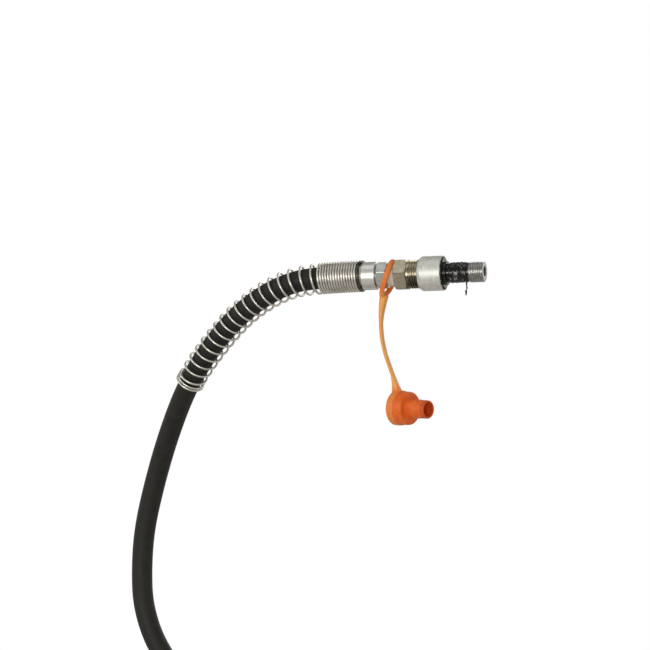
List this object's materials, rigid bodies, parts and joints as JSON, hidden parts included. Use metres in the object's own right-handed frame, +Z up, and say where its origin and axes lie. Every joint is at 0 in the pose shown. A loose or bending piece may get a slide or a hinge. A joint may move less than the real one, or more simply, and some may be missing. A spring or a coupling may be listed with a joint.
{
  "type": "hydraulic hose assembly",
  "caption": "Hydraulic hose assembly with a screw-collar quick coupler, shut-off valves, spring bend guard, tethered dust cap and crimped fittings.",
  "frame": {"origin": "middle of the port face, where the nipple thread enters the cylinder", "axes": "+X along the coupler axis into the port, +Z up; the hose leaves towards -X and bends down and back, towards +Y"},
  "size_m": [0.3388, 0.2272, 0.375],
  "materials": {
    "black_enamel": "gloss",
    "thread_tape": "satin",
    "painted_tape": "gloss",
    "black_steel": "satin",
    "zinc_steel": "satin",
    "pale_zinc_steel": "satin",
    "nickel_steel": "satin",
    "ferrule_steel": "satin",
    "valve_steel": "bright",
    "spring_steel": "bright",
    "hose_rubber": "matt",
    "hose_braid": "woven wire",
    "liner_rubber": "smooth",
    "seal_rubber": "smooth",
    "tie_fabric": "hook and loop",
    "orange_moulding": "soft, slightly translucent"
  },
  "bodies": {
    "port_half": {"port_nipple": "black_enamel", "nipple_tape": "painted_tape", "socket_body": "black_steel", "collar_retaining_ring": "valve_steel", "coupler_seal": "seal_rubber", "socket_valve_guide": "valve_steel", "socket_valve_spring": "spring_steel"},
    "collar": {"collar": "zinc_steel"},
    "hose_half": {"plug_body": "nickel_steel", "plug_valve_guide": "valve_steel", "plug_valve_spring": "spring_steel", "fitting_tape": "thread_tape", "near_hose_fitting": "pale_zinc_steel", "near_ferrule": "ferrule_steel", "near_hose_liner": "liner_rubber", "near_hose_braid": "hose_braid", "near_hose_cover": "hose_rubber", "spring_guard": "spring_steel", "hose_run": "hose_rubber", "hose_coil": "hose_rubber", "coil_tie": "tie_fabric", "far_ferrule": "ferrule_steel", "far_hose_fitting": "pale_zinc_steel", "far_hose_liner": "liner_rubber", "far_hose_braid": "hose_braid", "far_hose_cover": "hose_rubber"},
    "socket_poppet": {"socket_poppet": "valve_steel"},
    "plug_poppet": {"plug_poppet": "valve_steel"},
    "dust_cap": {"dust_cap": "orange_moulding"}
  },
  "joints": [
    {"name": "collar_spin", "type": "hinge", "parent": "port_half", "child": "collar", "pos_m": [-0.03, 0, 0], "axis": [1, 0, 0], "range_deg": [0, 540]},
    {"name": "coupler_part", "type": "slide", "parent": "port_half", "child": "hose_half", "axis": [-1, 0, 0], "range_m": [0, 0.003]},
    {"name": "socket_valve", "type": "slide", "parent": "port_half", "child": "socket_poppet", "axis": [-1, 0, 0], "range_m": [0, 0.0015], "deforming": ["socket_valve_spring"]},
    {"name": "plug_valve", "type": "slide", "parent": "hose_half", "child": "plug_poppet", "axis": [1, 0, 0], "range_m": [0, 0.0015], "deforming": ["plug_valve_spring"]},
    {"name": "cap_swing", "type": "hinge", "parent": "hose_half", "child": "dust_cap", "pos_m": [-0.066, 0, 0], "axis": [1, 0, 0], "continuous": true}
  ],
  "couplings": [
    {"joint": "collar_spin", "follows": "coupler_part", "rad_per_m": 3141.5},
    {"joint": "socket_valve", "follows": "coupler_part", "ratio": 0.5},
    {"joint": "plug_valve", "follows": "coupler_part", "ratio": 0.5}
  ]
}
